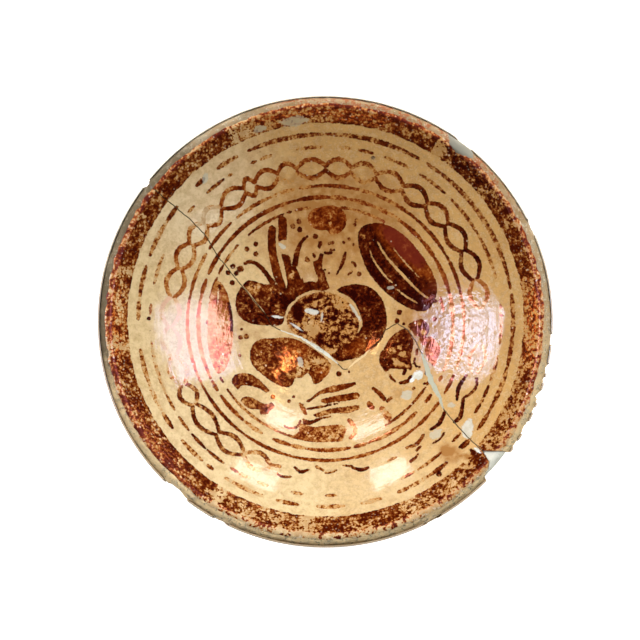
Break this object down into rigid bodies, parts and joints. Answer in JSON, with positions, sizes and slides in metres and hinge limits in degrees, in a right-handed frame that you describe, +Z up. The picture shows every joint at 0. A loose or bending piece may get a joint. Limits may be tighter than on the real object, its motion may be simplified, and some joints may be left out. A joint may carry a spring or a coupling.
{
  "type": "lustreware dish",
  "caption": "Shallow round lustre-painted earthenware dish on a foot ring, broken and mended with glue and filling; holds food or is put on show.",
  "frame": {"origin": "centre of the foot ring's standing face, on the axis of the wheel", "axes": "+Z up out of the hollow along the axis of the wheel, +Y towards the top of the dish as pictured, +X to its right"},
  "size_m": [0.205, 0.205, 0.049],
  "materials": {
    "clay": "bare fired earthenware, matt",
    "front_glaze": "opaque cream tin glaze with copper lustre painting, glossy",
    "back_glaze": "opaque cream tin glaze, glossy",
    "glue": "aged amber glue",
    "white_filling": "white plaster filling, matt",
    "grey_filling": "grey-green filling, matt"
  },
  "bodies": {
    "root": {"upper_sherd": "clay", "lower_sherd": "clay", "upper_front_glaze": "front_glaze", "lower_front_glaze": "front_glaze", "upper_back_glaze": "back_glaze", "lower_back_glaze": "back_glaze", "upper_base_glaze": "back_glaze", "lower_base_glaze": "back_glaze", "glue_line": "glue", "centre_crack_fill": "white_filling", "lobe_crack_fill": "white_filling", "east_crack_fill": "grey_filling", "east_rim_fill": "white_filling", "north_east_rim_fill": "grey_filling"}
  },
  "joints": []
}
